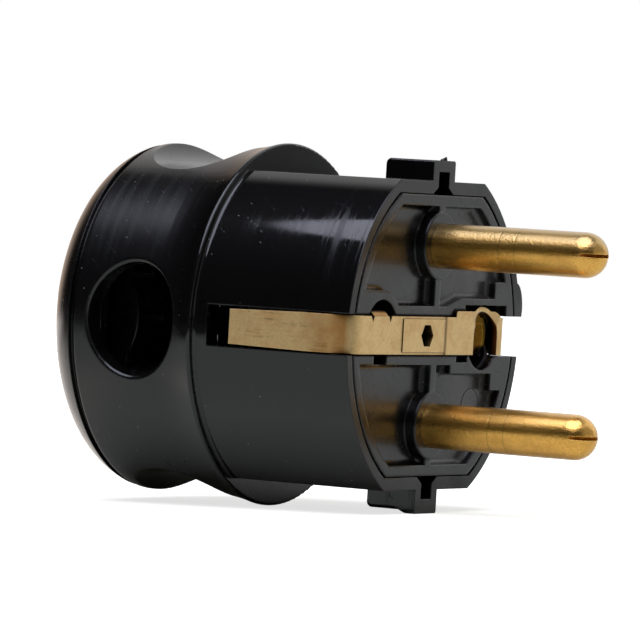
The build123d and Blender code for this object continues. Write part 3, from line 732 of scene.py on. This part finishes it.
def piece(name: str, shape: bmesh.types.BMesh, material: bpy.types.Material) -> bpy.types.Object:
    """Makes a new piece from a bmesh, on the plug's one body.

    Args:
        name: The piece's name.
        shape: Its shape, in metres; it is freed here.
        material: Its finish.

    Returns:
        The new object.
    """
    bmesh.ops.recalc_face_normals(shape, faces=shape.faces)
    mesh = bpy.data.meshes.new(name)
    shape.to_mesh(mesh)
    shape.free()
    mesh.materials.append(material)
    made = bpy.data.objects.new(name, mesh)
    bpy.context.scene.collection.objects.link(made)
    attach(made, "root")
    LOG.info("%s: %s, %d faces", name, material.name, len(mesh.polygons))
    return made


@dataclass
class Enclosure:
    """Housing and rear cover, with the stub that the mould's gate left on the top nose."""

    nodes: tuple[str, ...] = ("housing", "rear_cover")
    stub_place_mm: Triple = (-0.45, 0.45, 18.5)
    stub_radius_mm: float = 0.42
    stub_height_mm: float = 0.16
    stub_sides: int = 14
    crown_share: float = 0.72
    torn_from_share: float = 0.4
    torn_lean_share: float = 0.1
    torn_height_mm: float = 0.24
    sunk_mm: float = 0.04

    def build(self) -> None:
        """Dresses the nodes and adds the gate's stub."""
        finish = PolishedMoulding(
            name="polished black moulding", base="#090909", dust="#8d8a84", dust_share=0.13,
            gloss=0.03, haze=0.38, edge_mm=0.2, refraction=1.53).build()
        for node in self.nodes:
            dress(node, finish)
        self.gate_stub(finish)

    def gate_stub(self, finish: bpy.types.Material) -> bpy.types.Object:
        """Makes the broken stub: a low round foot, torn up at one side.

        Args:
            finish: The housing's finish.

        Returns:
            The new piece.
        """
        stub = bmesh.new()
        radius = self.stub_radius_mm * MM
        depth = (self.stub_height_mm + self.sunk_mm) * MM
        bmesh.ops.create_cone(stub, cap_ends=True, segments=self.stub_sides, radius1=radius,
                              radius2=self.crown_share * radius, depth=depth)
        crown = [v for v in stub.verts if v.co.z > 0]
        torn = [v for v in crown if v.co.x > self.torn_from_share * radius]
        lean = (self.torn_lean_share * radius, 0.0, self.torn_height_mm * MM)
        bmesh.ops.translate(stub, verts=torn, vec=lean)
        lift = (self.stub_height_mm - self.sunk_mm) / 2
        place = Vector(self.stub_place_mm) + Vector((0.0, 0.0, lift))
        bmesh.ops.translate(stub, verts=stub.verts, vec=place * MM)
        return piece("gate_stub", stub, finish)


@dataclass
class Carrier:
    """Pin carrier and cord grip, with the ring that an ejector pin left in one pocket."""

    nodes: tuple[str, ...] = ("pin_carrier", "cord_grip_bar")
    ring_centre_mm: Triple = (-1.1, 10.5, -7.6)
    ring_radius_mm: float = 1.92
    ring_width_mm: float = 0.16
    ring_height_mm: float = 0.05
    ring_steps: int = 72

    def build(self) -> None:
        """Dresses the nodes and adds the ejector pin's ring."""
        finish = SatinMoulding(
            name="satin black moulding", base="#0c0c0c", dust="#96928a", dust_share=0.06,
            gloss=0.19, haze=0.4, edge_mm=0.36, refraction=1.48).build()
        for node in self.nodes:
            dress(node, finish)
        self.ejector_ring(finish)

    def ejector_ring(self, finish: bpy.types.Material) -> bpy.types.Object:
        """Makes the low ring, from a three-cornered section that is spun about the pin's axis.

        Args:
            finish: The carrier's finish.

        Returns:
            The new piece.
        """
        ring = bmesh.new()
        centre = Vector(self.ring_centre_mm) * MM
        radius = self.ring_radius_mm * MM
        half = self.ring_width_mm / 2 * MM
        rise = self.ring_height_mm * MM
        corners = ((-rise, -half), (rise, 0.0), (-rise, half))
        section = [ring.verts.new(centre + Vector((up, radius + out, 0.0))) for up, out in corners]
        lines = [ring.edges.new((section[at], section[at - 1])) for at in range(len(section))]
        bmesh.ops.spin(ring, geom=section + lines, cent=centre, axis=(1.0, 0.0, 0.0), dvec=(0.0, 0.0, 0.0),
                       angle=2 * math.pi, steps=self.ring_steps, use_merge=True)
        return piece("ejector_ring", ring, finish)


@dataclass
class LiveParts:
    """The two pins and the terminal blocks that they screw into."""

    nodes: tuple[str, ...] = ("line_pin", "neutral_pin", "line_terminal_block", "neutral_terminal_block")
    pin_centre_mm: float = 9.5
    ring_lines_mm: tuple[float, float] = (8.1, 10.0)
    ring_half_mm: float = 0.12
    tip_mm: float = 17.5

    def build(self) -> None:
        """Dresses the nodes, with two turned rings on each pin."""
        rings = tuple(Mark(axis=Axis.ALONG, at_mm=at, half_mm=self.ring_half_mm, depth=0.6, shade=0.25)
                      for at in self.ring_lines_mm)
        # Each pin gets a painted highlight: a pale tint over its upper side
        finish = PinBrass(
            name="polished turned brass", base="#ffc45c", stain="#c88a34", stain_share=0.35, gloss=0.26,
            grain=0.08, grain_per_mm=(0.25, 5.0, 5.0), edge_mm=0.1, metal=0.97, lacquer=0.6, sparkle=2.2,
            marks=rings, painted_highlight="#bfa26a", centre_mm=self.pin_centre_mm, tip_mm=self.tip_mm).build()
        for node in self.nodes:
            dress(node, finish)


@dataclass
class EarthParts:
    """The folded earth strip and the sprung sleeve behind its hole."""

    pad_start_mm: float = -7.7
    pad_start_half_mm: float = 0.12
    pad_end_mm: float = 1.55
    pad_end_half_mm: float = 0.5
    arm_mm: float = 17.8
    lip_mm: float = -1.3
    hole_centre_mm: float = 10.5
    hole_reach_mm: float = 2.66

    def build(self) -> None:
        """Dresses the nodes, with a pressed line at each end of the strip's pad."""
        start = Mark(axis=Axis.ACROSS, at_mm=self.pad_start_mm, half_mm=self.pad_start_half_mm,
                     depth=0.3, shade=0.1)
        end = Mark(axis=Axis.ACROSS, at_mm=self.pad_end_mm, half_mm=self.pad_end_half_mm,
                   depth=0.6, shade=0.9)
        strip = StripBrass(
            name="rolled strip brass", base="#eccd90", stain="#d29c62", stain_share=0.5, gloss=0.34,
            grain=0.09, grain_per_mm=(0.25, 0.25, 4.0), edge_mm=0.12, metal=0.8, sparkle=0.2,
            marks=(start, end), arm_mm=self.arm_mm, hole_centre_mm=self.hole_centre_mm,
            hole_reach_mm=self.hole_reach_mm)
        spring = SpringBrass(
            name="spring brass", base="#ffd05c", stain="#e0a040", stain_share=0.3, gloss=0.22,
            grain=0.06, grain_per_mm=(0.2, 3.0, 3.0), edge_mm=0.1, metal=0.3, lip_mm=self.lip_mm)
        dress("earth_strip", strip.build())
        dress("earth_socket", spring.build())


@dataclass
class Fixings:
    """Screws, washer and clamp of plated steel."""

    nodes: tuple[str, ...] = ("line_terminal_screw", "neutral_terminal_screw", "earth_wire_clamp",
                              "earth_terminal_screw", "cord_grip_screws", "assembly_washer", "assembly_screw")

    def build(self) -> None:
        """Dresses the nodes."""
        finish = PlatedSteel(name="zinc plated steel", base="#b9bcc0", dull="#8c9094", edge_mm=0.12).build()
        for node in self.nodes:
            dress(node, finish)


@dataclass(frozen=True)
class Shot:
    """The photograph's camera."""

    place_mm: Triple = (306.103, -555.851, 16.626)
    azimuth: float = 29.946
    elevation: float = 1.415
    roll: float = 3.33
    focal_px: float = 6010.8
    frame_px: float = 640.0
    sensor_mm: float = 36.0
    nearest_m: float = 0.05
    farthest_m: float = 20.0

    def build(self) -> bpy.types.Object:
        """Makes the camera.

        Returns:
            The camera object.
        """
        around, above, turn = (math.radians(a) for a in (self.azimuth, self.elevation, self.roll))
        level = math.cos(above)
        ahead = Vector((-math.sin(around) * level, math.cos(around) * level, -math.sin(above)))
        right = Vector((math.cos(around), math.sin(around), 0.0))
        up = right.cross(ahead)
        side = right * math.cos(turn) + up * math.sin(turn)
        top = up * math.cos(turn) - right * math.sin(turn)
        data = bpy.data.cameras.new("camera")
        data.sensor_width = self.sensor_mm
        data.lens = self.focal_px / self.frame_px * self.sensor_mm
        data.clip_start = self.nearest_m
        data.clip_end = self.farthest_m
        camera = bpy.data.objects.new("camera", data)
        bpy.context.scene.collection.objects.link(camera)
        columns = Matrix((side, top, -ahead)).transposed().to_4x4()
        camera.matrix_world = Matrix.Translation(Vector(self.place_mm) * MM) @ columns
        bpy.context.scene.camera = camera
        return camera


@dataclass(frozen=True)
class Lamp:
    """A round soft light overhead."""

    name: str = "overhead"
    place_m: Triple = (0.0, -0.68, 1.88)
    aim_m: Triple = (-0.01, 0.0, 0.0)
    across_m: float = 2.355
    watts: float = 50.0
    colour: str = "#e8ebff"

    def build(self) -> bpy.types.Object:
        """Makes the light, facing the plug.

        Returns:
            The light object.
        """
        data = bpy.data.lights.new(self.name, "AREA")
        data.shape = "DISK"
        data.size = self.across_m
        data.energy = self.watts
        data.color = linear(self.colour)[:3]
        lamp = bpy.data.objects.new(self.name, data)
        bpy.context.scene.collection.objects.link(lamp)
        lamp.location = self.place_m
        lamp.rotation_mode = "QUATERNION"
        lamp.rotation_quaternion = (Vector(self.aim_m) - lamp.location).to_track_quat("-Z", "Y")
        return lamp


@dataclass(frozen=True)
class PaleCard:
    """Matt pale card of the floor, with lengths in metres from the flange's foot.

    Gives the eye white with the plug's shadow on it. The plug's gloss sees a lit and a warm patch instead.
    """

    name: str = "pale matt card"
    colour: str = "#e5e6d6"
    white: float = 0.72
    behind_m: Ramp = Ramp(0.0, 0.06)
    far_m: Ramp = Ramp(0.1, 0.7, 0.0, 0.46)
    patch_centre_m: Triple = (0.0188, -0.02, 0.0)
    patch_m: Ramp = Ramp(0.1, 0.22, 1.0, 0.05)
    warm: str = "#ffeee4"
    warm_side_m: Ramp = Ramp(-0.03, -0.016, 0.9, 0.0)
    warm_front_m: Ramp = Ramp(-0.05, 0.0)

    def build(self) -> bpy.types.Material:
        """Makes the material.

        Returns:
            The new material.
        """
        material = bpy.data.materials.new(self.name)
        material.use_nodes = True
        graph = Graph(material.node_tree)
        seen = graph.add(Node.PATH, {}, "Is Camera Ray")
        place = graph.add(Node.PLACE, {}, "Object")
        sides = graph.add(Node.AXES, {0: place}).node.outputs
        # White to the camera, and brighter to all with the distance behind the plug
        apart = graph.add(Node.VECTOR, {0: place}, "Value", operation="LENGTH")
        behind = graph.add(Node.SPAN, self.behind_m.of(sides["Y"]), interpolation_type=SMOOTH)
        far = graph.add(Node.SPAN, self.far_m.of(apart), interpolation_type=SMOOTH)
        far = graph.add(Node.MATH, {0: far, 1: behind}, operation="MULTIPLY")
        glow = graph.add(Node.MATH, {0: seen, 1: self.white, 2: far}, operation="MULTIPLY_ADD")
        white = graph.add(Node.GLOW, {"Color": linear(WHITE), "Strength": glow})
        # To the plug the lit patch ends 0.1 to 0.2 m in front of it
        aside = graph.add(Node.VECTOR, {0: place, 1: self.patch_centre_m}, "Value", operation="DISTANCE")
        lit = graph.add(Node.SPAN, self.patch_m.of(aside), interpolation_type=SMOOTH)
        for also in (behind, seen):
            lit = graph.add(Node.MATH, {0: lit, 1: also}, operation="MAXIMUM")
        pale = graph.add(Node.MIX, {0: lit, 6: linear(BLACK), 7: linear(self.colour)}, 2, data_type="RGBA")
        matt = graph.add(Node.MATT, {"Color": pale})
        # Warm light on the floor beyond the plug's back, which the camera doesn't see
        left = graph.add(Node.SPAN, self.warm_side_m.of(sides["X"]), interpolation_type=SMOOTH)
        near = graph.add(Node.SPAN, self.warm_front_m.of(sides["Y"]), interpolation_type=SMOOTH)
        unseen = graph.add(Node.MATH, {0: 1.0, 1: seen}, operation="SUBTRACT")
        for limit in (near, unseen):
            left = graph.add(Node.MATH, {0: left, 1: limit}, operation="MULTIPLY")
        warm = graph.add(Node.GLOW, {"Color": linear(self.warm), "Strength": left})
        surface = graph.add(Node.SUM, {0: matt, 1: white})
        surface = graph.add(Node.SUM, {0: surface, 1: warm})
        graph.add(Node.OUT, {"Surface": surface})
        return material


@dataclass(frozen=True)
class Sweep:
    """The surroundings: white to the eye. To the plug's gloss they are bright behind it and dark elsewhere.

    The ramps are over the parts of a direction: X to the right, Y to the back and Z up.
    """

    name: str = "sweep"
    slant: float = 0.5
    back: Ramp = Ramp(-0.03, 0.17)
    top: Ramp = Ramp(0.8, 0.9, 1.0, 0.04)
    climb: Ramp = Ramp(0.0, 0.45, 0.52, 1.0)
    dim_side: Ramp = Ramp(0.52, 0.68, 0.0, 0.7)
    dim_height: Ramp = Ramp(0.03, 0.25)
    least: float = 0.012
    brown: str = "#a08a7c"
    brown_side: Ramp = Ramp(-0.75, -0.4)
    warm: str = "#f8dcc6"
    warm_back: Ramp = Ramp(0.12, 0.45)
    warm_side: Ramp = Ramp(-0.65, -0.45, 1.0, 0.0)
    warm_height: Ramp = Ramp(0.05, 0.6, 1.0, 0.0)
    soft: str = "#5e5e5e"

    def build(self) -> None:
        """Makes the world: one grey as light, white to the camera and the sweep to gloss."""
        world = bpy.data.worlds.new(self.name)
        bpy.context.scene.world = world
        world.cycles.sampling_method = "NONE"
        world.use_nodes = True
        graph = Graph(world.node_tree)
        mirrored = self.mirrored(graph)
        rays = graph.add(Node.PATH, {}).node.outputs
        seen = graph.add(Node.MIX, {0: rays["Is Glossy Ray"], 6: linear(self.soft), 7: mirrored}, 2,
                         data_type="RGBA")
        seen = graph.add(Node.MIX, {0: rays["Is Camera Ray"], 6: seen, 7: linear(WHITE)}, 2, data_type="RGBA")
        glow = graph.add(Node.SKY, {"Color": seen, "Strength": 1.0})
        graph.add(Node.SKY_OUT, {"Surface": glow})

    def mirrored(self, graph: Graph) -> Socket:
        """Makes what the plug's gloss sees.

        Args:
            graph: The world's node tree.

        Returns:
            A socket with the colour in each direction.
        """
        way = graph.add(Node.PLACE, {}, "Generated")
        parts = graph.add(Node.AXES, {0: way}).node.outputs
        # The sweep stands behind the plug, from the floor to well above it, and is dimmer high on the right
        slant = graph.add(Node.MATH, {0: parts["X"], 1: self.slant, 2: parts["Y"]}, operation="MULTIPLY_ADD")
        sheet = graph.add(Node.SPAN, self.back.of(slant), interpolation_type=SMOOTH)
        below = graph.add(Node.SPAN, self.top.of(parts["Z"]), interpolation_type=SMOOTH)
        climb = graph.add(Node.SPAN, self.climb.of(parts["Z"]), interpolation_type=SMOOTH)
        right = graph.add(Node.SPAN, self.dim_side.of(parts["X"]), interpolation_type=SMOOTH)
        high = graph.add(Node.SPAN, self.dim_height.of(parts["Z"]), interpolation_type=SMOOTH)
        dim = graph.add(Node.MATH, {0: right, 1: high}, operation="MULTIPLY")
        kept = graph.add(Node.MATH, {0: 1.0, 1: dim}, operation="SUBTRACT")
        for limit in (below, climb):
            sheet = graph.add(Node.MATH, {0: sheet, 1: limit}, operation="MULTIPLY")
        sheet = graph.add(Node.MATH, {0: sheet, 1: kept, 2: self.least}, operation="MULTIPLY_ADD")
        # It turns brown at the far left
        side = graph.add(Node.SPAN, self.brown_side.of(parts["X"]), interpolation_type=SMOOTH)
        tone = graph.add(Node.MIX, {0: side, 6: linear(self.brown), 7: linear(WHITE)}, 2, data_type="RGBA")
        mirrored = graph.add(Node.MIX, {0: sheet, 6: linear(BLACK), 7: tone}, 2, data_type="RGBA")
        # A warm strip low on the left, past the plug's back
        strip = graph.add(Node.SPAN, self.warm_back.of(parts["Y"]), interpolation_type=SMOOTH)
        left = graph.add(Node.SPAN, self.warm_side.of(parts["X"]), interpolation_type=SMOOTH)
        low = graph.add(Node.SPAN, self.warm_height.of(parts["Z"]), interpolation_type=SMOOTH)
        for limit in (left, low):
            strip = graph.add(Node.MATH, {0: strip, 1: limit}, operation="MULTIPLY")
        return graph.add(Node.MIX, {0: strip, 6: mirrored, 7: linear(self.warm)}, 2, data_type="RGBA")


@dataclass
class Studio:
    """The white sweep, the floor and the lamp.

    Each foot is a point that the plug rests on, as X and Z.
    """

    flange_foot_mm: tuple[float, float] = (-18.8, -19.43)
    nose_foot_mm: tuple[float, float] = (-0.6, -18.85)
    floor_half_m: float = 3.0

    def build(self) -> None:
        """Makes the whole studio."""
        self.floor()
        Sweep().build()
        Lamp().build()
        LOG.info("studio: floor, sweep and lamp")

    def floor(self) -> bpy.types.Object:
        """Makes the pale floor, through the two points that the plug rests on.

        Returns:
            The floor object.
        """
        mesh = bpy.data.meshes.new("floor")
        sheet = bmesh.new()
        bmesh.ops.create_grid(sheet, x_segments=1, y_segments=1, size=self.floor_half_m)
        sheet.to_mesh(mesh)
        sheet.free()
        floor = bpy.data.objects.new("floor", mesh)
        bpy.context.scene.collection.objects.link(floor)
        run = self.nose_foot_mm[0] - self.flange_foot_mm[0]
        rise = self.nose_foot_mm[1] - self.flange_foot_mm[1]
        floor.location = (self.flange_foot_mm[0] * MM, 0.0, self.flange_foot_mm[1] * MM)
        floor.rotation_euler = (0.0, -math.atan2(rise, run), 0.0)
        mesh.materials.append(PaleCard().build())
        return floor


def main() -> None:
    """Builds the scene."""
    for group in (Enclosure(), Carrier(), LiveParts(), EarthParts(), Fixings(), Studio()):
        group.build()
    Shot().build()
    bpy.context.scene.view_settings.view_transform = "Standard"
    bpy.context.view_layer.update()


if __name__ == "__main__":
    main()
